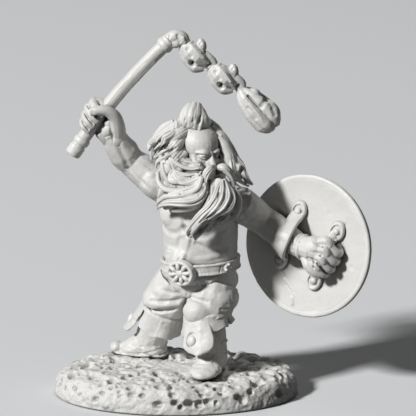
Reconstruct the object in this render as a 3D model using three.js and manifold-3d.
// A stout bearded warrior cast as a tabletop miniature. It stands on a rough oval mound, swings a flail over
// its head and carries a round shield on its other arm. Millimetres, +Z up, origin at the middle of the
// underside, -Y toward the person who looks at its front. Right and left are the warrior's own.
import * as THREE from 'three';
import { mergeVertices } from 'three/addons/utils/BufferGeometryUtils.js';
import Module from 'manifold-3d';

const wasm = await Module();
wasm.setup();

// Clearances
const seam = 0.06; // gap left where one piece lies against another
const mergeReach = 0.0001; // two corners this close are one

// Base
const baseLength = 25.8;
const baseDepth = 17.8;
const baseHeight = 2.9;
const moundRoughness = 0.16;
const moundSwell = 0.17; // height of the broad humps on its top
const swellSpacing = 6.8; // from hump to hump

// Stance, measured from the middle of the base
const pelvisSide = 2.3;
const pelvisBack = 0.6;
const pelvisHeight = 10.1; // above the ground under the soles
const hipSpread = 2.1;
const hipDrop = 1.1;
const rightAnkleSide = -2.7;
const rightAnkleBack = 4.1;
const leftAnkleSide = 3.7;
const leftAnkleBack = -1.9;
const ankleHeight = 1.9;
const rightKneePush = 0.3; // how far each knee is bent forward
const leftKneePush = 0.95;

// Trunk
const torsoWidth = 8.3;
const torsoDepth = 6.6;
const torsoHeight = 9.9;
const neckWidth = 3.9;
const seatWidth = 7.8;
const seatDepth = 7;
const seatHeight = 4.6;
const shoulderSpread = 3.9;
const shoulderHeight = 7.9; // above the pelvis
const headRise = 3.43; // from the top of the spine to the middle of the head

// Legs and boots
const thighWidth = 5.1;
const bootTopWidth = 3.8;
const bootWidth = 3.2;
const rightFootLength = 6.3;
const leftFootLength = 5.3;
const footHeight = 2.1;
const shaftHeight = 5.8;
const cuffHeight = 2;
const cuffWall = 0.42;
const cuffFlare = 1.05;
const flapLength = 3.2;
const flapWidth = 3.4;
const flapWall = 0.5;
const buttonDiameter = 1.25;
const buttonHeight = 0.4;
const leftButtonSide = 0.6; // how far it sits off the flap's middle

// Belt
const beltHeight = 1.2;
const beltWall = 0.38;
const buckleWidth = 3.2;
const buckleHeight = 2.7;
const buckleThickness = 0.75;
const studDiameter = 1;
const beltRise = 1.1; // above the pelvis
const beltShift = 0.3; // toward the left leg that carries the weight
const buckleDrop = 0.2; // how far its middle hangs below the belt's

// Arms
const upperArmWidth = 3.5;
const forearmWidth = 3.3;
const rightShoulderLift = 0.5; // the raised arm lifts its shoulder
const rightUpperArmLength = 5.3;
const rightForearmLength = 3.5;
const rightHandReach = 2.42;
const leftUpperArmLength = 4.3;
const leftForearmLength = 5.2;
const leftHandReach = 2.5;
const fingerWidth = 0.86;
const fingerPitch = 0.86;
const palmThickness = 1.25;

// Flail
const haftLength = 15.4;
const haftDiameter = 1.38;
const haftBelowFist = 4.35;
const haftBow = 0.45; // how far its middle is out of straight
const pommelLength = 2.3;
const pommelDiameter = 1.75;
const ferruleLength = 1.15;
const ferruleDiameter = 1.85;
const hookSpan = 1.6;
const hookRise = 0.5;
const hookDrop = 0.42;
const hookThickness = 1.5;
const linkLength = 3.75;
const linkWidth = 2.4;
const linkSpike = 1.75;
const linkLobe = 1.35;
const linkTie = 0.95;
const flailHeadLength = 5.4;
const flailHeadWidth = 3.7;

// Shield
const shieldDiameter = 15.1;
const shieldThickness = 0.55;
const shieldDish = 0.25;
const rimWidth = 0.55;
const rimBevel = 0.16;
const rimThickness = 0.8;
const bossDiameter = 4.6;
const bossHeight = 1.1;
const shieldStandOff = 1.45; // from the hand's grip to the middle of the board
const gripSide = 2.35; // how far the grip is off the middle
const gripRise = 0.58;
const strapWidth = 1.9;
const gripWidth = 1;
const strapThickness = 0.42;
const tabWidth = 1.7;
const tabLength = 2.4;
const tabThickness = 0.4;
const rivetDiameter = 0.95;
const rivetHeight = 0.38;

// Head and hair
const headHeight = 6.2;
const lockWidth = 1.65;
const fineLockWidth = 1.15;
const broadLockWidth = 2.1;
const scalpThickness = 0.56;

// Whatever is a direction holds no length: heading 0 looks at the viewer, 90 is to the viewer's right.
const up = new THREE.Vector3(0, 0, 1);
const towardViewer = new THREE.Vector3(0, -1, 0);

function direction(heading, rise) {
  const turn = THREE.MathUtils.degToRad(heading);
  const climb = THREE.MathUtils.degToRad(rise);
  const level = Math.cos(climb);
  return new THREE.Vector3(Math.sin(turn) * level, -Math.cos(turn) * level, Math.sin(climb));
}

function from(place, way, length) {
  return place.clone().addScaledVector(way, length);
}

function between(first, second, share) {
  return first.clone().lerp(second, share);
}

// A set of three square directions: side is to the viewer's right of what faces front.
function frameOf(front, rough = up) {
  const side = rough.clone().cross(front).normalize();
  return { front, side, up: front.clone().cross(side).normalize() };
}

function inFrame(centre, frame, side, front, rise) {
  return centre.clone().addScaledVector(frame.side, side).addScaledVector(frame.front, front)
    .addScaledVector(frame.up, rise);
}

// The pose: every joint of the body
const ground = baseHeight;
const torsoFront = direction(-26, 0);
const torsoFrame = frameOf(torsoFront);
const pelvis = new THREE.Vector3(pelvisSide, pelvisBack, ground + pelvisHeight);
const spineTop = from(pelvis, direction(20, 88), torsoHeight);
const rightHip = inFrame(pelvis, torsoFrame, -hipSpread, 0, -hipDrop);
const leftHip = inFrame(pelvis, torsoFrame, hipSpread, 0, -hipDrop);
const rightAnkle = new THREE.Vector3(rightAnkleSide, rightAnkleBack, ground + ankleHeight);
const leftAnkle = new THREE.Vector3(leftAnkleSide, leftAnkleBack, ground + ankleHeight);
const rightFootWay = direction(-104, 0);
const leftFootWay = direction(-17, 0);
const shoulderLevel = from(pelvis, direction(90, 86), shoulderHeight);
const rightShoulder = inFrame(shoulderLevel, torsoFrame, -shoulderSpread, 0, rightShoulderLift);
const leftShoulder = inFrame(shoulderLevel, torsoFrame, shoulderSpread, 0, 0);
const rightElbow = from(rightShoulder, direction(-97, 36), rightUpperArmLength);
const rightWrist = from(rightElbow, direction(-65, 57), rightForearmLength);
const rightGrip = from(rightWrist, direction(-70, 47), rightHandReach);
const leftElbow = from(leftShoulder, direction(132, -34), leftUpperArmLength);
const leftWrist = from(leftElbow, direction(58, -26), leftForearmLength);
const leftGrip = from(leftWrist, direction(57, -16), leftHandReach);
const haftWay = direction(90, 49.7);
const haftBowWay = direction(-90, 40.3);
const headFrame = frameOf(direction(36, -9));
const headCentre = from(spineTop, direction(-7, 75), headRise);
const shieldFrame = frameOf(direction(-33, 5.3));
const shieldCentre = inFrame(leftGrip, shieldFrame, -gripSide, -shieldStandOff, gripRise);

// Solids
function solidOf(points, faces) {
  let volume = 0;
  for (const [a, b, c] of faces) {
    volume += points[a].dot(points[b].clone().cross(points[c]));
  }
  const vertProperties = new Float32Array(points.flatMap((point) => point.toArray()));
  const triVerts = new Uint32Array(faces.flatMap(([a, b, c]) => (volume > 0 ? [a, b, c] : [a, c, b])));
  return new wasm.Manifold(new wasm.Mesh({ numProp: 3, vertProperties, triVerts }));
}

function solidFrom(geometry) {
  geometry.deleteAttribute('normal');
  geometry.deleteAttribute('uv');
  const merged = mergeVertices(geometry, mergeReach);
  const places = merged.attributes.position;
  const points = [];
  for (let i = 0; i < places.count; i += 1) {
    points.push(new THREE.Vector3().fromBufferAttribute(places, i));
  }
  const faces = [];
  for (let i = 0; i < merged.index.count; i += 3) {
    const [a, b, c] = [merged.index.getX(i), merged.index.getX(i + 1), merged.index.getX(i + 2)];
    if (a !== b && b !== c && c !== a) faces.push([a, b, c]);
  }
  return solidOf(points, faces);
}

function joined(solids) {
  return solids.reduce((whole, solid) => whole.add(solid));
}

// A closed body on a smooth line through its stations, each with a place and half its width and depth there.
function limb(stations, { sides = 10, rings = 9, facing = towardViewer, close = 3, square = 1, grow = 0 }) {
  const line = new THREE.CatmullRomCurve3(stations.map((station) => station.at), false, 'centripetal');
  const crossSizes = stations.map((station) => new THREE.Vector3(station.wide, station.deep, 0));
  const sizes = new THREE.CatmullRomCurve3(crossSizes);
  const points = [line.getPoint(0).addScaledVector(line.getTangent(0), -grow)];
  for (let i = 1; i < rings; i += 1) {
    const t = (1 - Math.cos((Math.PI * i) / rings)) / 2;
    const round = (1 - Math.abs(2 * t - 1) ** close) ** (1 / close);
    const along = line.getTangent(t);
    const deepWay = facing.clone().addScaledVector(along, -facing.dot(along)).normalize();
    const wideWay = along.clone().cross(deepWay).normalize();
    const size = sizes.getPoint(t);
    for (let j = 0; j < sides; j += 1) {
      const angle = (2 * Math.PI * (j + 0.5)) / sides;
      const wide = Math.sign(Math.cos(angle)) * Math.abs(Math.cos(angle)) ** square * (size.x * round + grow);
      const deep = Math.sign(Math.sin(angle)) * Math.abs(Math.sin(angle)) ** square * (size.y * round + grow);
      points.push(line.getPoint(t).addScaledVector(wideWay, wide).addScaledVector(deepWay, deep));
    }
  }
  points.push(line.getPoint(1).addScaledVector(line.getTangent(1), grow));
  const faces = [];
  const last = points.length - 1;
  for (let j = 0; j < sides; j += 1) {
    const next = (j + 1) % sides;
    faces.push([0, 1 + next, 1 + j]);
    faces.push([last, last - sides + j, last - sides + next]);
    for (let i = 0; i < rings - 2; i += 1) {
      const low = 1 + i * sides;
      faces.push([low + j, low + next, low + sides + next]);
      faces.push([low + j, low + sides + next, low + sides + j]);
    }
  }
  return solidOf(points, faces);
}

function ball(place, width, depth, height, frame, grow = 0, sides = 6) {
  const half = height / 2;
  return limb([-half, 0, half].map((rise) => ({
    at: inFrame(place, frame, 0, 0, rise),
    wide: width / 2,
    deep: depth / 2,
  })), { sides, rings: 4, facing: frame.front, close: 2, grow });
}

// A turned body: profile points are [radius, height along the axis].
function turned(profile, place, axis, { segments = 16, grow = 0 } = {}) {
  const heights = profile.map(([, height]) => height);
  const middle = (Math.min(...heights) + Math.max(...heights)) / 2;
  const outline = profile.map(([radius, height]) => new THREE.Vector2(
    radius > 0 ? radius + grow : 0,
    height + Math.sign(height - middle) * grow,
  ));
  const geometry = new THREE.LatheGeometry(outline, segments);
  geometry.applyQuaternion(new THREE.Quaternion().setFromUnitVectors(new THREE.Vector3(0, 1, 0), axis));
  geometry.translate(place.x, place.y, place.z);
  return solidFrom(geometry);
}

// A round-topped button or rivet that starts half its height inside what it is fixed to
const domeShares = [[0, -0.5], [1, -0.5], [1, 0.45], [0.7, 0.9], [0, 1]];

function dome(place, axis, diameter, height, look) {
  return turned(domeShares.map(([out, rise]) => [(out * diameter) / 2, rise * height]), place, axis, look);
}

// A limb between two joints. Each row of its table is [share along, width share, depth share].
function boneBody(first, second, width, rowShares, look) {
  return limb(rowShares.map(([along, wide, deep]) => ({
    at: between(first, second, along),
    wide: (wide * width) / 2,
    deep: (deep * width) / 2,
  })), look);
}

// Base
const moundShares = [[0, 0], [0.965, 0], [1, 0.16], [0.985, 0.45], [0.945, 0.76], [0.87, 0.91], [0.7, 0.97],
  [0.5, 0.97], [0.32, 0.97], [0.15, 0.97], [0, 0.97]];
const fullTurn = 2 * Math.PI;
const secondWaveShare = 0.6;
const crownShare = 0.9; // nearer the middle than this the mound is its top
const crownWaveShare = 0.5;

function baseMound(grow) {
  const geometry = new THREE.LatheGeometry(moundShares.map(([out, rise]) => (
    new THREE.Vector2((out * baseLength) / 2, rise * baseHeight)
  )), 28);
  geometry.rotateX(Math.PI / 2);
  const places = geometry.attributes.position;
  for (let i = 0; i < places.count; i += 1) {
    const angle = Math.atan2(places.getY(i), places.getX(i));
    const rise = places.getZ(i) / baseHeight;
    const out = Math.hypot(places.getX(i), places.getY(i)) / (baseLength / 2);
    const bump = (Math.sin(5 * angle) + secondWaveShare * Math.cos(9 * angle + 1)) * out * rise;
    const wave = (Math.sin(3 * angle + 2) + secondWaveShare * Math.cos(7 * angle)) * out * rise;
    const swell = Math.sin((fullTurn * places.getX(i)) / swellSpacing + 1)
      * Math.cos((fullTurn * places.getY(i)) / swellSpacing) * moundSwell * rise;
    const lift = out < crownShare ? wave * moundRoughness * crownWaveShare + swell : 0;
    const widen = 1 + (bump * moundRoughness) / baseLength;
    places.setX(i, places.getX(i) * widen);
    places.setY(i, (places.getY(i) * widen * baseDepth) / baseLength);
    places.setZ(i, places.getZ(i) + lift + (rise > 0 ? grow : 0));
  }
  return solidFrom(geometry);
}

// Boots
const footShares = [[0, 0.7, 0.9], [0.14, 0.9, 1.1], [0.4, 0.94, 1.12], [0.62, 1, 0.74], [0.84, 1, 0.66],
  [1, 0.76, 0.54]];
const shaftShares = [[0, 0.96], [0.3, 0.94], [0.62, 1], [1, 1]];
const heelShare = 0.27; // how much of the foot lies behind the ankle

function boot(ankle, way, footLength, shaftTop, grow) {
  const sole = new THREE.Vector3(ankle.x, ankle.y, ground);
  const heel = from(sole, way, -footLength * heelShare);
  const foot = limb(footShares.map(([along, wide, tall]) => ({
    at: from(from(heel, way, along * footLength), up, (tall * footHeight) / 2 - seam),
    wide: (wide * bootWidth) / 2,
    deep: (tall * footHeight) / 2 + seam,
  })), { sides: 8, rings: 8, facing: up, close: 3.5, square: 0.85, grow });
  const start = from(sole, up, footHeight / 2);
  const shaft = limb(shaftShares.map(([along, wide]) => ({
    at: between(start, shaftTop, along),
    wide: (wide * bootTopWidth) / 2,
    deep: (wide * bootTopWidth) / 2,
  })), { sides: 9, rings: 6, facing: way, close: 6, grow });
  return foot.add(shaft);
}

const kneeShare = 0.41; // how far down the leg the knee is
const rightKnee = from(between(rightHip, rightAnkle, kneeShare), direction(-70, 0), rightKneePush);
const leftKnee = from(between(leftHip, leftAnkle, kneeShare), direction(-58, 0), leftKneePush);
const shinWay = (ankle, knee) => knee.clone().sub(ankle).normalize();
const rightShaftTop = from(rightAnkle, shinWay(rightAnkle, rightKnee), shaftHeight - ankleHeight);
const leftShaftTop = from(leftAnkle, shinWay(leftAnkle, leftKnee), shaftHeight - ankleHeight);

// Trousers
const legShares = [[-0.1, 0.98, 1], [0.3, 1, 1.04], [0.66, 0.98, 1], [0.9, 0.86, 0.88], [1.1, 0.66, 0.68]];
const kneeBendShare = 0.45; // how much of the knee's push the outside of the trousers follows
const seatShares = [[-0.62, 0.62, 0.6], [-0.3, 0.94, 0.95], [0.1, 1, 1], [0.38, 0.97, 0.94]];

function trouserSeat(grow) {
  return limb(seatShares.map(([rise, wide, deep]) => ({
    at: from(pelvis, up, rise * seatHeight),
    wide: (wide * seatWidth) / 2,
    deep: (deep * seatDepth) / 2,
  })), { sides: 12, rings: 7, facing: torsoFront, close: 3, grow });
}

function trouserLeg(hip, knee, shaftTop, facing, grow) {
  const bend = knee.clone().sub(hip.clone().add(shaftTop).divideScalar(2)).multiplyScalar(kneeBendShare);
  return limb(legShares.map(([along, wide, deep]) => ({
    at: between(hip, shaftTop, along).addScaledVector(bend, Math.sin(Math.PI * along)),
    wide: (wide * thighWidth) / 2,
    deep: (deep * thighWidth) / 2,
  })), { sides: 10, rings: 7, facing, close: 3.5, grow });
}

// Boot cuffs, turned down, with one pointed flap that a round button holds
const cuffShares = [[0, 1.02], [0.35, 1.1], [0.75, 1.24], [1, 1.32]];
const hollowShares = [[0.45, 0.98], [0.8, 1.06], [1, 1.17], [1.3, 1.28]];
const flapShares = [[0, 0.5], [0.3, 0.82], [0.62, 1], [0.85, 0.72], [1, 0.32]];
const flapStartShare = 0.25; // of the cuff's height
const buttonPlaceShare = 0.55; // of the flap's length
const buttonTiltShare = 0.25;

function cuffBody(ankle, shaftTop, flapWay, grow) {
  const down = ankle.clone().sub(shaftTop).normalize();
  const top = from(shaftTop, down, -cuffWall);
  const skirt = limb(cuffShares.map(([along, wide]) => ({
    at: from(top, down, along * cuffHeight),
    wide: (wide * bootTopWidth) / 2 + cuffWall,
    deep: (wide * bootTopWidth) / 2 + cuffWall,
  })), { sides: 10, rings: 4, facing: flapWay, close: 8, grow });
  const flap = limb(flapShares.map(([along, wide]) => ({
    at: flapPlace(top, down, flapWay, along),
    wide: (wide * flapWidth) / 2,
    deep: flapWall / 2,
  })), { sides: 6, rings: 5, facing: flapWay, close: 6, square: 0.8, grow });
  return skirt.add(flap);
}

function flapPlace(top, down, flapWay, along) {
  const out = bootTopWidth / 2 + cuffWall / 2 + cuffFlare * along;
  return from(from(top, down, cuffHeight * flapStartShare + flapLength * along), flapWay, out);
}

// The cuff is hollow: what is left once the boot and the flare inside it are taken away
function cuff(ankle, shaftTop, flapWay, grow) {
  const whole = cuffBody(ankle, shaftTop, flapWay, grow);
  if (grow > 0) return whole;
  const down = ankle.clone().sub(shaftTop).normalize();
  const hollow = limb(hollowShares.map(([along, wide]) => ({
    at: from(shaftTop, down, along * cuffHeight),
    wide: (wide * bootTopWidth) / 2,
    deep: (wide * bootTopWidth) / 2,
  })), { sides: 10, rings: 4, facing: flapWay, close: 8 });
  return whole.subtract(hollow);
}

function cuffButton(ankle, shaftTop, flapWay, side, grow) {
  const down = ankle.clone().sub(shaftTop).normalize();
  const seat = flapPlace(from(shaftTop, down, -cuffWall), down, flapWay, buttonPlaceShare);
  const axis = from(flapWay, up, buttonTiltShare).normalize();
  const place = inFrame(seat, frameOf(flapWay), -side, flapWall / 2, 0);
  return dome(place, axis, buttonDiameter, buttonHeight, { segments: 10, grow });
}

// Trunk
const torsoShares = [[-0.12, 0.9, 0.9], [0.1, 0.95, 0.94], [0.3, 0.97, 0.99], [0.55, 1, 1.02],
  [0.76, 1, 0.96], [0.9, 0.62, 0.66]];
const neckFootShare = 0.78; // of the spine
const neckShares = [[0, 1.15, 1.1], [0.45, 1, 1], [1, 0.92, 0.95]];

function torso(grow) {
  const chest = limb(torsoShares.map(([rise, wide, deep]) => ({
    at: between(pelvis, spineTop, rise),
    wide: (wide * torsoWidth) / 2,
    deep: (deep * torsoDepth) / 2,
  })), { sides: 14, rings: 9, facing: torsoFront, close: 3.4, grow });
  const neckFoot = between(pelvis, spineTop, neckFootShare);
  const neck = limb(neckShares.map(([along, wide, deep]) => ({
    at: between(neckFoot, headCentre, along),
    wide: (wide * neckWidth) / 2,
    deep: (deep * neckWidth) / 2,
  })), { sides: 10, rings: 5, facing: torsoFront, close: 6, grow });
  return chest.add(neck);
}

// Belt, with a round buckle and a stud
const beltMiddle = inFrame(pelvis, torsoFrame, beltShift, 0, beltRise);
const beltAxis = direction(-90, 86.5);
const buckleWay = direction(-30, -4);
const buckleShares = [[0, -1], [1, -1], [1, 0.6], [0.9, 1], [0.76, 1], [0.7, 0.35], [0.26, 0.35], [0.2, 0.9],
  [0, 1]];
const petalCount = 8;
const buckleProudShare = 0.2;
const petalShares = [[0.28, 0.09], [0.74, 0.135]]; // how far out each end is, and half its width there
const petalDepthShare = 0.3;

function belt(grow) {
  const rise = beltHeight / 2;
  const reach = seatWidth / 2 + beltWall;
  const profile = [[0, -rise], [reach, -rise], [reach, rise], [0, rise]];
  const turnDown = Math.atan2(torsoFront.x, -torsoFront.y);
  const outline = profile.map(([out, height]) => new THREE.Vector2(
    out + (out > 0 ? grow : 0),
    height + Math.sign(height) * grow,
  ));
  const ring = new THREE.LatheGeometry(outline, 20);
  ring.rotateX(Math.PI / 2);
  ring.scale(1, (seatDepth / 2 + beltWall) / reach, 1);
  ring.rotateZ(turnDown);
  ring.applyQuaternion(new THREE.Quaternion().setFromUnitVectors(up, beltAxis));
  ring.translate(beltMiddle.x, beltMiddle.y, beltMiddle.z);
  return solidFrom(ring);
}

// The outside of the belt, seen from its middle in one direction
function beltFace(way) {
  const across = way.dot(torsoFrame.side) / (seatWidth / 2 + beltWall);
  const ahead = way.dot(torsoFront) / (seatDepth / 2 + beltWall);
  const level = way.clone().addScaledVector(beltAxis, -way.dot(beltAxis)).normalize();
  return from(beltMiddle, level, 1 / Math.hypot(across, ahead));
}

// Lays a body that is built flat, its face up, against a frame's front
function placing(centre, frame) {
  return new THREE.Matrix4().makeBasis(frame.side, frame.up, frame.front.clone()).setPosition(centre).elements;
}

const buckleCentre = from(from(beltFace(buckleWay), buckleWay, buckleThickness * buckleProudShare), up, -buckleDrop);

function buckle(grow) {
  const radius = buckleWidth / 2;
  const flatten = buckleHeight / buckleWidth;
  const face = frameOf(buckleWay);
  const profile = buckleShares.map(([out, height]) => [out * radius, (height * buckleThickness) / 2]);
  const disc = turned(profile, new THREE.Vector3(), up, { segments: 14, grow });
  const plate = disc.scale([1, flatten, 1]).transform(placing(buckleCentre, face));
  const petals = [];
  for (let i = 0; i < petalCount; i += 1) {
    const angle = (2 * Math.PI * i) / petalCount;
    petals.push(limb(petalShares.map(([out, wide]) => ({
      at: inFrame(
        buckleCentre,
        face,
        Math.cos(angle) * radius * out,
        buckleThickness * buckleProudShare,
        Math.sin(angle) * radius * out * flatten,
      ),
      wide: wide * radius,
      deep: buckleThickness * petalDepthShare,
    })), { sides: 4, rings: 3, facing: buckleWay, close: 3, grow }));
  }
  return joined([plate, ...petals]);
}

function beltStud(grow) {
  const way = direction(42, 2);
  return ball(beltFace(way), studDiameter, studDiameter, studDiameter, frameOf(way), grow, 8);
}

// Arms
const upperArmShares = [[-0.12, 1.1, 1.1], [0.2, 1.12, 1.14], [0.55, 1.02, 1.08], [0.85, 0.86, 0.88],
  [1.08, 0.84, 0.86]];
const forearmShares = [[-0.06, 0.9, 0.94], [0.25, 1.03, 1.02], [0.6, 0.94, 0.92], [1, 0.76, 0.74],
  [1.12, 0.72, 0.7]];

function upperArm(shoulder, elbow, grow) {
  return boneBody(shoulder, elbow, upperArmWidth, upperArmShares, { sides: 10, rings: 8, close: 3, grow });
}

function forearm(elbow, wrist, grow) {
  return boneBody(elbow, wrist, forearmWidth, forearmShares, { sides: 10, rings: 8, close: 4, grow });
}

// A fist shut round a bar. The fingers leave the palm at the knuckles, go over the bar and come back.
const fingerCount = 4;
const fingerTurns = [150, 112, 76, 40, 6, -26];
const thumbTurns = [-150, -105, -60, -15, 28];
const littleFingerShare = 0.9;
const thumbShares = { lift: 0.22, start: 0.9, step: 0.3, wide: 0.52 };
const palmShares = { length: 0.95, wide: 1.45 };
const handRootShares = [[0, 0.36, 0.36], [0.5, 0.37, 0.34], [1, 0.42, 0.21]]; // of the forearm's width

function fist({ grip, axis, wrist, palmWay, barWidth }, grow) {
  const bar = axis.clone().normalize();
  const away = palmWay.clone().addScaledVector(bar, -palmWay.dot(bar)).normalize();
  const reach = grip.clone().sub(wrist);
  reach.addScaledVector(bar, -reach.dot(bar)).addScaledVector(away, -reach.dot(away)).normalize();
  const onRing = (turn, radius, along) => {
    const angle = THREE.MathUtils.degToRad(turn);
    return grip.clone().addScaledVector(away, -Math.cos(angle) * radius)
      .addScaledVector(reach, Math.sin(angle) * radius).addScaledVector(bar, along);
  };
  const radius = barWidth / 2 + fingerWidth / 2 + seam;
  const solids = [];
  for (let i = 0; i < fingerCount; i += 1) {
    const along = (i - (fingerCount - 1) / 2) * fingerPitch;
    const half = (fingerWidth / 2) * (i === 0 ? littleFingerShare : 1);
    solids.push(limb(fingerTurns.map((turn) => ({ at: onRing(turn, radius, along), wide: half, deep: half })),
      { sides: 5, rings: 5, facing: bar, close: 4, grow }));
  }
  const thumbRadius = radius + fingerWidth * thumbShares.lift;
  solids.push(limb(thumbTurns.map((turn, i) => ({
    at: onRing(turn, thumbRadius, fingerPitch * (thumbShares.start + thumbShares.step * i)),
    wide: fingerWidth * thumbShares.wide,
    deep: fingerWidth / 2,
  })), { sides: 5, rings: 6, facing: bar, close: 4, grow }));
  const palmHalf = (fingerPitch * fingerCount * palmShares.length) / 2;
  const palm = [-palmHalf, 0, palmHalf].map((along) => ({
    at: onRing(180, barWidth / 2 + palmThickness / 2, along),
    wide: fingerWidth * palmShares.wide,
    deep: palmThickness / 2,
  }));
  solids.push(limb(palm, { sides: 8, rings: 5, facing: away, close: 4, square: 0.8, grow }));
  const heel = onRing(190, barWidth / 2 + palmThickness / 2, 0);
  solids.push(limb(handRootShares.map(([along, wide, deep]) => ({
    at: between(wrist, heel, along),
    wide: forearmWidth * wide,
    deep: forearmWidth * deep,
  })), { sides: 8, rings: 5, facing: away, close: 4, grow }));
  return joined(solids);
}

const rightHold = {
  grip: rightGrip,
  axis: haftWay,
  wrist: rightWrist,
  palmWay: direction(168, 10),
  barWidth: haftDiameter,
};

// Flail
const haftFoot = haftPlace(0);
const haftTop = haftPlace(1);
const haftRowShares = [0, 0.25, 0.5, 0.75, 1];
const pommelShares = [[0, 0], [0.88, 0], [0.96, 0.06], [0.96, 0.5], [0.84, 0.56], [0.84, 0.64], [1, 0.7],
  [1, 0.94], [0.9, 1], [0, 1]];
const pommelProudShare = 0.12; // how much of it stands past the haft's foot
const ferruleHoldShare = 0.8; // how much of it is on the haft
const ferruleShares = [[0, 0], [0.92, 0], [1, 0.15], [1, 0.5], [0.86, 0.62], [0.86, 0.8], [0.95, 1], [0, 1]];

function haftPlace(share) {
  const straight = from(rightGrip, haftWay, share * haftLength - haftBelowFist);
  const gripShare = haftBelowFist / haftLength;
  const bowed = (place) => haftBow * 4 * place * (1 - place);
  return from(straight, haftBowWay, bowed(share) - bowed(gripShare));
}

function haft(grow) {
  const half = haftDiameter / 2;
  return limb(haftRowShares.map((share) => ({ at: haftPlace(share), wide: half, deep: half })),
    { sides: 10, rings: 8, close: 24, grow });
}

function pommel(grow) {
  const profile = pommelShares.map(([out, along]) => [(out * pommelDiameter) / 2, along * pommelLength]);
  const way = haftPlace(pommelLength / haftLength).sub(haftFoot).normalize();
  return turned(profile, from(haftFoot, way, -pommelLength * pommelProudShare), way, { segments: 12, grow });
}

function ferrule(grow) {
  const profile = ferruleShares.map(([out, along]) => [(out * ferruleDiameter) / 2, along * ferruleLength]);
  const way = haftTop.clone().sub(haftPlace(1 - ferruleLength / haftLength)).normalize();
  return turned(profile, from(haftTop, way, -ferruleLength * ferruleHoldShare), way, { segments: 12, grow });
}

// The neck bends over from the top of the haft, and the links hang out from its end
const hookEnd = new THREE.Vector3(haftTop.x + hookSpan, haftTop.y, haftTop.z - hookDrop);
const hookShares = [[-0.12, -0.3, 1], [0.16, 0.5, 0.96], [0.55, 1, 1], [0.88, 0.6, 1], [1, -0.3, 0.94]];
const linkOneWay = direction(90, -39.5);
const linkTwoWay = direction(90, -36.5);
const flailHeadWay = direction(90, -48.5);
const linkOneStart = hookEnd;
const linkTwoStart = from(linkOneStart, linkOneWay, linkLength);
const flailHeadStart = from(linkTwoStart, linkTwoWay, linkLength);

function hook(grow) {
  return limb(hookShares.map(([along, rise, wide]) => ({
    at: new THREE.Vector3(haftTop.x + along * hookSpan, haftTop.y, haftTop.z + rise * hookRise),
    wide: (wide * hookThickness) / 2,
    deep: (wide * hookThickness) / 2,
  })), { sides: 8, rings: 9, close: 4, grow });
}

const linkShares = [[0, 0.5], [0.2, 0.86], [0.5, 1], [0.8, 0.84], [1, 0.5]];
const linkSpikeShares = [[0, 0.42, 0.24], [0.55, 0.3, 0.2], [1, 0.12, 0.12]]; // how far out, half widths
const linkLobeShares = [[0, 0, 0.5, 0.4], [0.5, 0.1, 0.46, 0.36], [1, 0.2, 0.34, 0.28]];
const linkRootShare = 0.42; // how far along the link its spikes stand
const tieShares = [0.54, 1];
const spikeTurns = [0, 75, 285]; // round the link from its top; the fourth side has a rounded lobe

function link(start, way, grow) {
  const across = frameOf(way);
  const outward = (turn) => {
    const angle = THREE.MathUtils.degToRad(turn);
    return across.up.clone().multiplyScalar(Math.cos(angle)).addScaledVector(across.side, Math.sin(angle));
  };
  const body = limb(linkShares.map(([along, wide]) => ({
    at: from(start, way, along * (linkLength - linkTie)),
    wide: (wide * linkWidth) / 2,
    deep: (wide * linkWidth) / 2,
  })), { sides: 7, rings: 6, close: 3, grow });
  const tie = limb(tieShares.map((along) => ({
    at: from(start, way, along * linkLength),
    wide: linkTie / 2,
    deep: linkTie / 2,
  })), { sides: 5, rings: 3, close: 4, grow });
  const root = from(start, way, linkLength * linkRootShare);
  const spikes = spikeTurns.map((turn) => limb(linkSpikeShares.map(([out, wide, deep]) => ({
    at: from(root, outward(turn), out * linkSpike),
    wide: wide * linkWidth,
    deep: deep * linkWidth,
  })), { sides: 5, rings: 4, facing: outward(turn + 90), close: 5, grow }));
  const lobe = limb(linkLobeShares.map(([out, along, wide, deep]) => ({
    at: from(from(root, outward(180), out * linkLobe), way, along * linkLength),
    wide: wide * linkWidth,
    deep: deep * linkWidth,
  })), { sides: 6, rings: 4, facing: across.side, close: 2.6, grow });
  return joined([body, tie, lobe, ...spikes]);
}

const lobeCount = 5;
const lobeShares = [[0, 0.05, 0.5], [0.22, 0.17, 0.8], [0.55, 0.25, 1], [0.85, 0.26, 0.95], [1, 0.14, 0.6]];
const lobeCrossShares = { wide: 0.13, deep: 0.22, turn: 0.4 };
const coreShares = [[0, 0.5], [0.3, 0.6], [0.96, 0.6]];

function flailHead(grow) {
  const across = frameOf(flailHeadWay);
  const core = limb(coreShares.map(([along, wide]) => ({
    at: from(flailHeadStart, flailHeadWay, along * flailHeadLength),
    wide: wide * hookThickness,
    deep: wide * hookThickness,
  })), { sides: 8, rings: 6, close: 4, grow });
  const lobes = [];
  for (let i = 0; i < lobeCount; i += 1) {
    const angle = (2 * Math.PI * (i + lobeCrossShares.turn)) / lobeCount;
    const out = across.up.clone().multiplyScalar(Math.cos(angle))
      .addScaledVector(across.side, Math.sin(angle));
    lobes.push(limb(lobeShares.map(([along, reach, wide]) => ({
      at: from(from(flailHeadStart, flailHeadWay, along * flailHeadLength), out, reach * flailHeadWidth),
      wide: wide * lobeCrossShares.wide * flailHeadWidth,
      deep: wide * lobeCrossShares.deep * flailHeadWidth,
    })), { sides: 5, rings: 6, facing: out, close: 3, grow }));
  }
  return joined([core, ...lobes]);
}

// Shield. Its frame's front looks at the arm, and it is dished away from it.
function shieldFace(across, rise, lift = 0) {
  const out = Math.hypot(across, rise) / (shieldDiameter / 2);
  const dish = shieldDish * (out * out - 1);
  return inFrame(shieldCentre, shieldFrame, across, shieldThickness / 2 + dish + lift, rise);
}

const boardSteps = 3;

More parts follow.
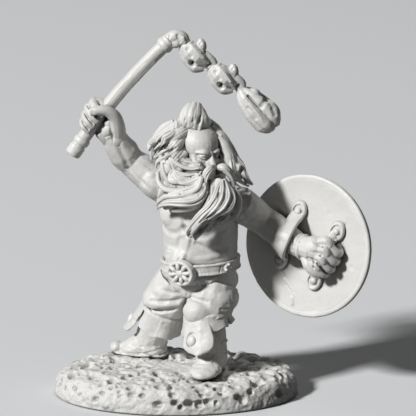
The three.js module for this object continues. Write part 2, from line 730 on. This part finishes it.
function shieldBoard(grow) {
  const edge = shieldDiameter / 2 - rimWidth - seam;
  const outline = [];
  for (let i = 0; i <= boardSteps; i += 1) {
    const share = i / boardSteps;
    outline.push([share * edge, shieldDish * (share * share - 1) - shieldThickness / 2 - grow]);
  }
  for (let i = boardSteps; i >= 0; i -= 1) {
    const share = i / boardSteps;
    outline.push([share * edge, shieldDish * (share * share - 1) + shieldThickness / 2 + grow]);
  }
  return turned(outline, shieldCentre, shieldFrame.front, { segments: 30 });
}

function shieldRim() {
  const inner = shieldDiameter / 2 - rimWidth;
  const outer = shieldDiameter / 2;
  const half = rimThickness / 2;
  const outline = [[inner, -half], [outer - rimBevel, -half], [outer, rimBevel - half],
    [outer, half - rimBevel], [outer - rimBevel, half], [inner, half], [inner, -half]];
  return turned(outline, shieldCentre, shieldFrame.front, { segments: 30 });
}

const bossShares = [[0, -1], [0.3, -0.92], [0.6, -0.62], [0.74, -0.2], [1, -0.06], [1, 0.3], [0, 0.3]];

function shieldBoss(grow) {
  const seat = inFrame(shieldCentre, shieldFrame, 0, -shieldThickness / 2 - shieldDish, 0);
  const profile = bossShares.map(([out, height]) => [(out * bossDiameter) / 2, height * bossHeight]);
  return turned(profile, seat, shieldFrame.front, { segments: 14, grow });
}

// Where the two straps are riveted down: shares of the shield's diameter across and up
const armTabShares = [[-0.074, 0.238], [-0.202, -0.117]];
const gripTabShares = [[0.239, 0.132], [0.08, -0.23]];
const armStrapShare = 0.7; // how far down the forearm the strap crosses it

function tabPlace([across, rise], lift = 0) {
  return shieldFace(across * shieldDiameter, rise * shieldDiameter, lift);
}

const strapShares = [[0.02, 0], [0.13, 0.25], [0.24, 0.7], [0.36, 0.96], [0.5, 1], [0.64, 0.96], [0.76, 0.7],
  [0.87, 0.25], [0.98, 0]];
const tabRowShares = [-0.45, 0, 0.4];

function strapPlaces(tabShares, crown) {
  const [top, low] = tabShares.map((tab) => tabPlace(tab, strapThickness / 2 + seam));
  const way = low.clone().sub(top).normalize();
  const out = crown.clone().sub(top.clone().add(low).divideScalar(2));
  const lift = out.clone().addScaledVector(way, -out.dot(way));
  return strapShares.map(([along, rise]) => (
    between(top, low, along).addScaledVector(lift, rise)
  ));
}

function strap(tabShares, crown, width, grow) {
  return limb(strapPlaces(tabShares, crown).map((at) => ({ at, wide: width / 2, deep: strapThickness / 2 })),
    { sides: 6, rings: 13, facing: shieldFrame.front, close: 9, square: 0.6, grow });
}

const underStrap = between(leftElbow, leftWrist, armStrapShare);
const armStrapCrown = from(underStrap, shieldFrame.front, (forearmWidth + strapThickness) / 2);
const leftHold = {
  grip: leftGrip,
  axis: tabPlace(gripTabShares[0]).sub(tabPlace(gripTabShares[1])),
  wrist: leftWrist,
  palmWay: shieldFrame.front,
  barWidth: gripWidth,
};

// A tab under each strap end, with a domed rivet
function strapTab(tabShares, index, grow) {
  const other = tabPlace(tabShares[1 - index], tabThickness / 2 + seam);
  const centre = tabPlace(tabShares[index], tabThickness / 2 + seam);
  const way = other.clone().sub(centre).normalize();
  const plate = limb(tabRowShares.map((share) => ({
    at: from(centre, way, share * tabLength),
    wide: tabWidth / 2,
    deep: tabThickness / 2,
  })), { sides: 6, rings: 5, facing: shieldFrame.front, close: 2.6, square: 0.7, grow });
  const seat = from(centre, shieldFrame.front, tabThickness / 2);
  return plate.add(dome(seat, shieldFrame.front, rivetDiameter, rivetHeight, { segments: 6, grow }));
}

// Head. All its places are shares of its height: to the side, to the front and up.
const skullShares = [[0.17, -0.5, 0.15, 0.15], [0.12, -0.36, 0.25, 0.27], [0.04, -0.14, 0.32, 0.37],
  [0, 0.12, 0.35, 0.42], [-0.02, 0.34, 0.31, 0.37], [-0.04, 0.5, 0.18, 0.22]];
const browShares = [[-0.26, 0.27, 0.05], [-0.14, 0.375, 0.09], [0, 0.385, 0.075], [0.14, 0.375, 0.09],
  [0.26, 0.27, 0.05]];
const browThickShares = { wide: 0.045, deep: 0.05 };
const noseShares = [[0.37, 0.08, 0.05], [0.45, -0.03, 0.055], [0.5, -0.13, 0.085], [0.43, -0.18, 0.07]];
// What comes in pairs: a cheek, an eye and a nostril, each [side, front, rise, width, depth, height]
const pairShares = [
  [0.18, 0.25, -0.13, 0.24, 0.22, 0.22],
  [0.14, 0.325, 0, 0.13, 0.12, 0.09],
  [0.07, 0.42, -0.165, 0.09, 0.11, 0.09],
];

function onHead(side, front, rise) {
  return inFrame(headCentre, headFrame, side * headHeight, front * headHeight, rise * headHeight);
}

function head(grow) {
  const skull = limb(skullShares.map(([front, rise, wide, deep]) => ({
    at: onHead(0, front, rise),
    wide: wide * headHeight,
    deep: deep * headHeight,
  })), { sides: 12, rings: 8, facing: headFrame.front, close: 3, grow });
  const brow = limb(browShares.map(([side, front, rise]) => ({
    at: onHead(side, front, rise),
    wide: browThickShares.wide * headHeight,
    deep: browThickShares.deep * headHeight,
  })), { sides: 5, rings: 6, facing: headFrame.front, close: 3, grow });
  const nose = limb(noseShares.map(([front, rise, wide]) => ({
    at: onHead(0, front, rise),
    wide: wide * headHeight,
    deep: wide * headHeight,
  })), { sides: 6, rings: 6, facing: headFrame.front, close: 3, grow });
  const pairs = [-1, 1].flatMap((hand) => pairShares.map(([side, front, rise, wide, deep, high]) => ball(
    onHead(hand * side, front, rise),
    wide * headHeight,
    deep * headHeight,
    high * headHeight,
    headFrame,
    grow,
  )));
  return joined([skull, brow, nose, ...pairs]);
}

// Hair and beard are bundles of waved locks. Their places are shares of the head's height from its centre,
// to the viewer's right, away from the viewer and up.
const crestShares = [
  [[-0.27, -0.02, 0.38], [-0.21, -0.02, 0.56], [-0.13, 0, 0.71], [-0.05, 0.03, 0.82]],
  [[-0.14, -0.2, 0.38], [-0.1, -0.16, 0.62], [-0.05, -0.02, 0.82]],
  [[0.12, -0.1, 0.38], [0.07, -0.08, 0.57], [-0.02, 0, 0.81]],
  [[-0.04, 0.24, 0.38], [-0.04, 0.17, 0.6], [-0.04, 0.06, 0.8]],
  [[-0.05, 0.02, 0.42], [-0.05, 0.02, 0.6], [-0.04, 0.01, 0.82]],
];
const rightHairShares = [
  [[-0.1, -0.03, 0.46], [-0.3, -0.09, 0.4], [-0.52, 0, 0.28], [-0.72, 0.13, 0.1]],
  [[-0.16, -0.19, 0.4], [-0.36, -0.22, 0.3], [-0.56, -0.13, 0.15], [-0.68, 0.03, -0.07]],
  [[-0.23, -0.26, 0.3], [-0.4, -0.28, 0.13], [-0.55, -0.2, -0.05], [-0.66, -0.06, -0.28]],
  [[-0.26, -0.28, 0.12], [-0.42, -0.32, -0.06], [-0.58, -0.25, -0.28], [-0.67, -0.1, -0.52]],
  [[-0.08, 0.12, 0.46], [-0.34, 0.18, 0.3], [-0.54, 0.22, 0.04], [-0.64, 0.2, -0.34]],
  [[-0.2, 0, 0.36], [-0.38, 0, 0.16], [-0.5, 0.02, -0.1], [-0.56, 0.04, -0.4]],
];
const backHairShares = [
  [[-0.06, 0.28, 0.42], [-0.16, 0.46, 0.16], [-0.26, 0.5, -0.2], [-0.3, 0.48, -0.62]],
  [[0.04, 0.32, 0.42], [0.04, 0.52, 0.14], [0.04, 0.56, -0.24], [0.06, 0.56, -0.74]],
  [[0.16, 0.28, 0.4], [0.26, 0.46, 0.12], [0.34, 0.5, -0.24], [0.4, 0.5, -0.64]],
];
const leftHairShares = [
  [[0.2, 0.06, 0.4], [0.37, 0.04, 0.24], [0.51, 0.02, 0.02], [0.65, -0.04, -0.2], [0.84, -0.14, -0.5]],
  [[0.26, 0.2, 0.3], [0.42, 0.2, 0.1], [0.57, 0.16, -0.14], [0.72, 0.06, -0.46]],
  [[0.32, -0.1, 0.26], [0.44, -0.14, 0.06], [0.56, -0.16, -0.2], [0.7, -0.18, -0.48]],
];
const sweepShares = [
  [[-0.27, -0.3, 0], [-0.44, -0.36, -0.18], [-0.58, -0.3, -0.44], [-0.65, -0.18, -0.7]],
  [[-0.2, -0.34, -0.14], [-0.4, -0.42, -0.34], [-0.56, -0.33, -0.6], [-0.65, -0.2, -0.82]],
  [[-0.08, -0.4, -0.24], [-0.28, -0.47, -0.46], [-0.46, -0.4, -0.67], [-0.62, -0.26, -0.88]],
  [[0.06, -0.48, -0.32], [-0.12, -0.56, -0.54], [-0.34, -0.48, -0.74], [-0.57, -0.32, -0.9]],
  [[0.18, -0.52, -0.4], [0.05, -0.63, -0.64], [-0.16, -0.58, -0.8], [-0.44, -0.42, -0.92]],
];
const fallShares = [
  [[0.24, -0.5, -0.38], [0.22, -0.64, -0.68], [0.12, -0.7, -0.92], [-0.04, -0.68, -1.16],
    [-0.14, -0.64, -1.32]],
  [[0.34, -0.52, -0.36], [0.37, -0.69, -0.64], [0.28, -0.76, -0.9], [0.09, -0.72, -1.13],
    [-0.06, -0.66, -1.36]],
  [[0.42, -0.5, -0.38], [0.52, -0.67, -0.64], [0.46, -0.74, -0.9], [0.27, -0.72, -1.12],
    [0.07, -0.68, -1.28]],
  [[0.5, -0.44, -0.44], [0.64, -0.57, -0.69], [0.6, -0.66, -0.95], [0.44, -0.66, -1.13],
    [0.25, -0.64, -1.26]],
];
const rightMoustacheShares = [
  [[0.27, -0.5, -0.1], [0.17, -0.56, -0.2], [0.11, -0.55, -0.35], [0.12, -0.5, -0.52]],
];
const leftMoustacheShares = [
  [[0.3, -0.5, -0.1], [0.44, -0.5, -0.18], [0.54, -0.43, -0.34], [0.6, -0.38, -0.52]],
];
const scalpShares = [[0, 0.3, 0.4, 0.2], [0, 0.16, 0.5, 0.3], [0, -0.1, 0.52, 0.36], [0, -0.36, 0.34, 0.37],
  [0, -0.42, 0, 0.34], [0, -0.34, -0.32, 0.28]];
const lockTaperShares = [0.7, 1, 0.92, 0.72, 0.42];
const lockDepthShare = 0.42;

function aroundHead([across, back, rise]) {
  return new THREE.Vector3(across, back, rise).multiplyScalar(headHeight).add(headCentre);
}

function lock(placeShares, width, grow) {
  const places = placeShares.map(aroundHead);
  const outward = places[1].clone().sub(headCentre).normalize();
  return limb(places.map((at, i) => {
    const along = (i * (lockTaperShares.length - 1)) / (places.length - 1);
    const low = Math.floor(along);
    const high = Math.min(low + 1, lockTaperShares.length - 1);
    const taper = THREE.MathUtils.lerp(lockTaperShares[low], lockTaperShares[high], along - low);
    return { at, wide: (taper * width) / 2, deep: taper * width * lockDepthShare };
  }), { sides: 5, rings: 6, facing: outward, close: 3, grow });
}

function locks(tableShares, width, grow) {
  return joined(tableShares.map((placeShares) => lock(placeShares, width, grow)));
}

// The hair that lies close over the skull, from the forehead to the nape
function scalp(grow) {
  return limb(scalpShares.map(([side, front, rise, wide]) => ({
    at: onHead(side, front, rise),
    wide: wide * headHeight,
    deep: scalpThickness,
  })), { sides: 7, rings: 7, facing: up, close: 3, grow });
}

// What each piece is, which neighbours it is cut clear of, and its colour
const finishes = {
  skin: { color: 0xdcdbd8, roughness: 0.62, metalness: 0.1 },
  hair: { color: 0xd6d5d1, roughness: 0.68, metalness: 0.1 },
  cloth: { color: 0xd9d8d4, roughness: 0.66, metalness: 0.1 },
  leather: { color: 0xd5d4d0, roughness: 0.6, metalness: 0.1 },
  wood: { color: 0xdad9d5, roughness: 0.6, metalness: 0.1 },
  steel: { color: 0xdededa, roughness: 0.55, metalness: 0.1 },
  stone: { color: 0xd8d7d3, roughness: 0.75, metalness: 0.1 },
};

const flapWays = { right: direction(-104, 0), left: direction(-22, 0) };
const kneeWays = { right: direction(-60, 0), left: direction(-28, 0) };
const pieces = {
  base_mound: ['stone', baseMound, []],
  right_boot: ['leather', (grow) => boot(rightAnkle, rightFootWay, rightFootLength, rightShaftTop, grow), ['base_mound']],
  left_boot: ['leather', (grow) => boot(leftAnkle, leftFootWay, leftFootLength, leftShaftTop, grow),
    ['base_mound', 'right_boot']],
  torso: ['skin', torso, []],
  trouser_seat: ['cloth', trouserSeat, ['torso']],
  right_trouser_leg: ['cloth', (grow) => trouserLeg(rightHip, rightKnee, rightShaftTop, kneeWays.right, grow),
    ['torso', 'trouser_seat', 'right_boot', 'left_boot']],
  left_trouser_leg: ['cloth', (grow) => trouserLeg(leftHip, leftKnee, leftShaftTop, kneeWays.left, grow),
    ['torso', 'trouser_seat', 'left_boot', 'right_boot', 'right_trouser_leg']],
  right_boot_cuff: ['leather', (grow) => cuff(rightAnkle, rightShaftTop, flapWays.right, grow),
    ['right_boot', 'right_trouser_leg', 'left_trouser_leg', 'left_boot']],
  left_boot_cuff: ['leather', (grow) => cuff(leftAnkle, leftShaftTop, flapWays.left, grow),
    ['left_boot', 'left_trouser_leg', 'right_trouser_leg', 'right_boot', 'right_boot_cuff']],
  right_cuff_button: ['steel', (grow) => cuffButton(rightAnkle, rightShaftTop, flapWays.right, 0, grow),
    ['right_boot_cuff']],
  left_cuff_button: ['steel', (grow) => cuffButton(leftAnkle, leftShaftTop, flapWays.left, leftButtonSide, grow),
    ['left_boot_cuff']],
  belt: ['leather', belt, ['torso', 'trouser_seat', 'right_trouser_leg', 'left_trouser_leg']],
  belt_buckle: ['steel', buckle,
    ['belt', 'torso', 'trouser_seat', 'right_trouser_leg', 'left_trouser_leg']],
  belt_stud: ['steel', beltStud, ['belt', 'torso', 'trouser_seat', 'left_trouser_leg']],
  right_upper_arm: ['skin', (grow) => upperArm(rightShoulder, rightElbow, grow), ['torso']],
  right_forearm: ['skin', (grow) => forearm(rightElbow, rightWrist, grow), ['right_upper_arm']],
  left_upper_arm: ['skin', (grow) => upperArm(leftShoulder, leftElbow, grow), ['torso']],
  left_forearm: ['skin', (grow) => forearm(leftElbow, leftWrist, grow), ['left_upper_arm', 'torso']],
  flail_haft: ['wood', haft, []],
  flail_pommel: ['steel', pommel, ['flail_haft']],
  flail_ferrule: ['steel', ferrule, ['flail_haft']],
  flail_hook: ['steel', hook, ['flail_haft', 'flail_ferrule']],
  flail_link_1: ['steel', (grow) => link(linkOneStart, linkOneWay, grow), ['flail_hook', 'flail_ferrule']],
  flail_link_2: ['steel', (grow) => link(linkTwoStart, linkTwoWay, grow), ['flail_link_1']],
  flail_head: ['steel', flailHead, ['flail_link_2']],
  right_hand: ['skin', (grow) => fist(rightHold, grow), ['flail_haft', 'flail_pommel', 'right_forearm']],
  shield_board: ['wood', shieldBoard, []],
  shield_rim: ['steel', shieldRim, []],
  shield_boss: ['steel', shieldBoss, ['shield_board']],
  grip_strap: ['leather', (grow) => strap(gripTabShares, leftGrip, gripWidth, grow), ['shield_board']],
  arm_strap: ['leather', (grow) => strap(armTabShares, armStrapCrown, strapWidth, grow),
    ['shield_board', 'left_forearm']],
  left_hand: ['skin', (grow) => fist(leftHold, grow),
    ['shield_board', 'grip_strap', 'left_forearm', 'arm_strap']],
  strap_tab_1: ['leather', (grow) => strapTab(armTabShares, 0, grow), ['shield_board', 'arm_strap']],
  strap_tab_2: ['leather', (grow) => strapTab(armTabShares, 1, grow), ['shield_board', 'arm_strap']],
  strap_tab_3: ['leather', (grow) => strapTab(gripTabShares, 0, grow),
    ['shield_board', 'grip_strap', 'left_hand']],
  strap_tab_4: ['leather', (grow) => strapTab(gripTabShares, 1, grow),
    ['shield_board', 'grip_strap', 'left_hand']],
  head: ['skin', head, ['torso']],
  hair_crest: ['hair', (grow) => locks(crestShares, lockWidth, grow), ['head']],
  hair_right: ['hair', (grow) => locks(rightHairShares, lockWidth, grow),
    ['head', 'torso', 'hair_crest', 'right_upper_arm', 'right_forearm']],
  hair_back: ['hair', (grow) => locks(backHairShares, broadLockWidth, grow).add(scalp(grow)),
    ['head', 'torso', 'hair_crest', 'hair_right', 'right_upper_arm', 'left_upper_arm']],
  hair_left: ['hair', (grow) => locks(leftHairShares, lockWidth, grow),
    ['head', 'torso', 'hair_crest', 'hair_back', 'left_upper_arm']],
  moustache_right: ['hair', (grow) => locks(rightMoustacheShares, fineLockWidth, grow), ['head']],
  moustache_left: ['hair', (grow) => locks(leftMoustacheShares, fineLockWidth, grow),
    ['head', 'moustache_right']],
  beard_sweep: ['hair', (grow) => locks(sweepShares, lockWidth, grow),
    ['head', 'torso', 'hair_right', 'right_upper_arm', 'moustache_right', 'moustache_left']],
  beard_fall: ['hair', (grow) => locks(fallShares, lockWidth, grow),
    ['head', 'torso', 'beard_sweep', 'moustache_right', 'moustache_left', 'hair_left', 'left_upper_arm']],
};

// The largest lump of a cut piece; crumbs that a cut leaves behind are dropped
function mainLump(solid) {
  return solid.decompose().reduce((best, part) => (part.volume() > best.volume() ? part : best));
}

function meshFrom(name, solid, finish) {
  const { vertProperties, triVerts } = solid.getMesh();
  const geometry = new THREE.BufferGeometry();
  geometry.setAttribute('position', new THREE.BufferAttribute(new Float32Array(vertProperties), 3));
  geometry.setIndex(Array.from(triVerts));
  geometry.computeVertexNormals();
  const mesh = new THREE.Mesh(geometry, new THREE.MeshStandardMaterial(finishes[finish]));
  mesh.name = name;
  return mesh;
}

const figure = new THREE.Group();
for (const [name, [finish, shape, neighbours]] of Object.entries(pieces)) {
  let solid = shape(0);
  for (const neighbour of neighbours) {
    const [, itsShape] = pieces[neighbour];
    solid = solid.subtract(itsShape(seam));
  }
  figure.add(meshFrom(name, mainLump(solid), finish));
}

export default figure;
